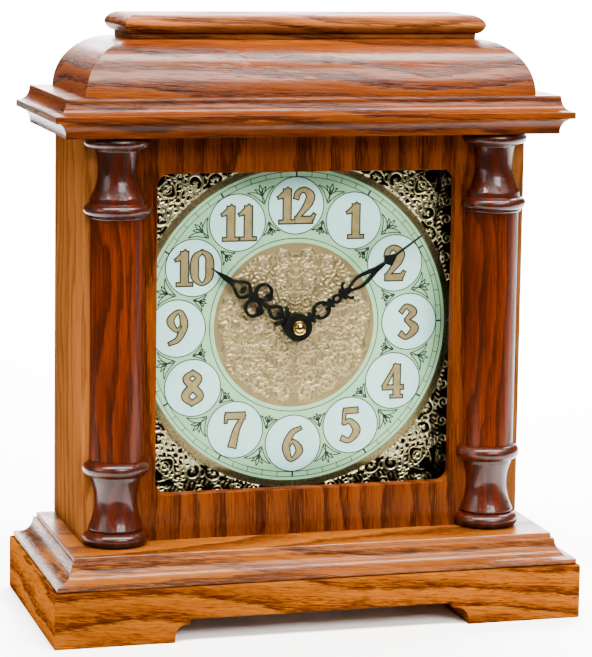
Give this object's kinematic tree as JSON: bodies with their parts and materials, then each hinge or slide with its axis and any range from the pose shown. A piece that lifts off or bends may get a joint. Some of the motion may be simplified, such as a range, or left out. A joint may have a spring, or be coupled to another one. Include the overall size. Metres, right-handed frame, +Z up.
{
  "type": "mantel clock",
  "caption": "Oak mantel clock with half-round turned columns, a moulded base and hipped top, a glazed round dial with hands, a quartz movement and a rear door.",
  "frame": {"origin": "middle of the plinth's underside, on the floor", "axes": "+X to the right seen from the front, +Y to the back, +Z up"},
  "size_m": [0.2636, 0.122, 0.295],
  "materials": {
    "oak_base": "lacquered oak",
    "oak_case": "lacquered oak",
    "oak_top": "lacquered oak",
    "oak_turned": "gloss lacquered dark oak",
    "oak_shaft": "lacquered oak",
    "softwood": "sawn",
    "glass": "clear",
    "black_frame": "matt",
    "dial_metal": "printed and embossed sheet",
    "hardboard": "painted hardboard",
    "screw_steel": "zinc plated",
    "hinge_brass": "polished",
    "magnet_black": "moulded",
    "plated_steel": "plated",
    "movement_plastic": "moulded",
    "rubber": "soft",
    "neck_brass": "turned",
    "hand_black": "satin black",
    "wheel_plastic": "moulded acetal",
    "coil_copper": "enamelled wire",
    "circuit_green": "solder mask",
    "battery_jacket": "printed jacket"
  },
  "bodies": {
    "case": {"plinth": "oak_base", "base_board": "oak_base", "side_panel_left": "oak_case", "side_panel_right": "oak_case", "front_panel": "oak_case", "cornice_board": "oak_top", "bonnet": "oak_top", "bonnet_spacer": "oak_top", "cap_board": "oak_top", "column_capital_left": "oak_turned", "column_capital_right": "oak_turned", "column_base_left": "oak_turned", "column_base_right": "oak_turned", "column_shaft_left": "oak_shaft", "column_shaft_right": "oak_shaft", "dial_blocks": "softwood", "glass_pane": "glass", "glazing_frame": "black_frame", "dial_plate": "dial_metal", "dial_board": "hardboard", "back_frame": "hardboard", "dial_screws": "screw_steel", "base_screws": "screw_steel", "top_screws": "screw_steel", "back_frame_screws": "screw_steel", "hinge_frame_leaves": "hinge_brass", "hinge_pins": "hinge_brass", "hinge_screws_frame": "hinge_brass", "door_magnet": "magnet_black", "battery_contact_plus": "plated_steel", "battery_contact_minus": "plated_steel", "motor_stator": "plated_steel", "quartz_crystal": "plated_steel", "movement_front_case": "movement_plastic", "movement_rear_case": "movement_plastic", "movement_gasket": "rubber", "movement_washer": "neck_brass", "movement_nut": "neck_brass", "motor_coil": "coil_copper", "circuit_board": "circuit_green"},
    "minute_arbor": {"minute_hand": "hand_black", "hand_nut": "neck_brass", "minute_pipe": "neck_brass"},
    "hour_arbor": {"hour_hand": "hand_black", "hour_wheel": "wheel_plastic"},
    "motion_wheel": {"minute_wheel": "wheel_plastic"},
    "setting": {"setting_knob": "wheel_plastic"},
    "second_arbor": {"second_wheel": "wheel_plastic"},
    "third_arbor": {"third_wheel": "wheel_plastic"},
    "centre_ring": {"centre_wheel": "wheel_plastic"},
    "step_arbor": {"step_wheel": "wheel_plastic"},
    "rotor_arbor": {"rotor": "plated_steel"},
    "battery": {"battery": "battery_jacket"},
    "door": {"back_door": "hardboard", "door_knob": "hinge_brass", "hinge_door_leaves": "hinge_brass", "hinge_screws_door": "hinge_brass", "strike_plate": "plated_steel"}
  },
  "joints": [
    {"name": "minute_spin", "type": "hinge", "parent": "case", "child": "minute_arbor", "pos_m": [0, -0.001, 0.141], "axis": [0, 1, 0], "continuous": true},
    {"name": "hour_spin", "type": "hinge", "parent": "case", "child": "hour_arbor", "pos_m": [0, -0.001, 0.141], "axis": [0, 1, 0], "continuous": true},
    {"name": "motion_wheel_spin", "type": "hinge", "parent": "case", "child": "motion_wheel", "pos_m": [-0.0053, -0.001, 0.1463], "axis": [0, 1, 0], "continuous": true},
    {"name": "setting_spin", "type": "hinge", "parent": "case", "child": "setting", "pos_m": [-0.01235, -0.001, 0.14887], "axis": [0, 1, 0], "continuous": true},
    {"name": "second_spin", "type": "hinge", "parent": "case", "child": "second_arbor", "pos_m": [0, -0.001, 0.141], "axis": [0, 1, 0], "continuous": true},
    {"name": "third_spin", "type": "hinge", "parent": "case", "child": "third_arbor", "pos_m": [0.0045, -0.001, 0.14879], "axis": [0, 1, 0], "continuous": true},
    {"name": "centre_spin", "type": "hinge", "parent": "case", "child": "centre_ring", "pos_m": [0, -0.001, 0.141], "axis": [0, 1, 0], "continuous": true},
    {"name": "step_spin", "type": "hinge", "parent": "case", "child": "step_arbor", "pos_m": [0.00886, -0.001, 0.13944], "axis": [0, 1, 0], "continuous": true},
    {"name": "rotor_spin", "type": "hinge", "parent": "case", "child": "rotor_arbor", "pos_m": [0.01653, -0.001, 0.14223], "axis": [0, 1, 0], "continuous": true},
    {"name": "battery_slide", "type": "slide", "parent": "case", "child": "battery", "axis": [0, 1, 0], "range_m": [0, 0.02]},
    {"name": "door_hinge", "type": "hinge", "parent": "case", "child": "door", "pos_m": [-0.0596, 0.0523, 0.141], "axis": [0, 0, 1], "range_deg": [0, 110]}
  ],
  "couplings": [
    {"joint": "hour_spin", "follows": "minute_spin", "ratio": 0.083333},
    {"joint": "motion_wheel_spin", "follows": "minute_spin", "ratio": -0.33333},
    {"joint": "setting_spin", "follows": "minute_spin", "ratio": 1},
    {"joint": "step_spin", "follows": "second_spin", "ratio": -4},
    {"joint": "rotor_spin", "follows": "second_spin", "ratio": 30},
    {"joint": "third_spin", "follows": "second_spin", "ratio": -0.13333},
    {"joint": "centre_spin", "follows": "second_spin", "ratio": 0.016667}
  ]
}
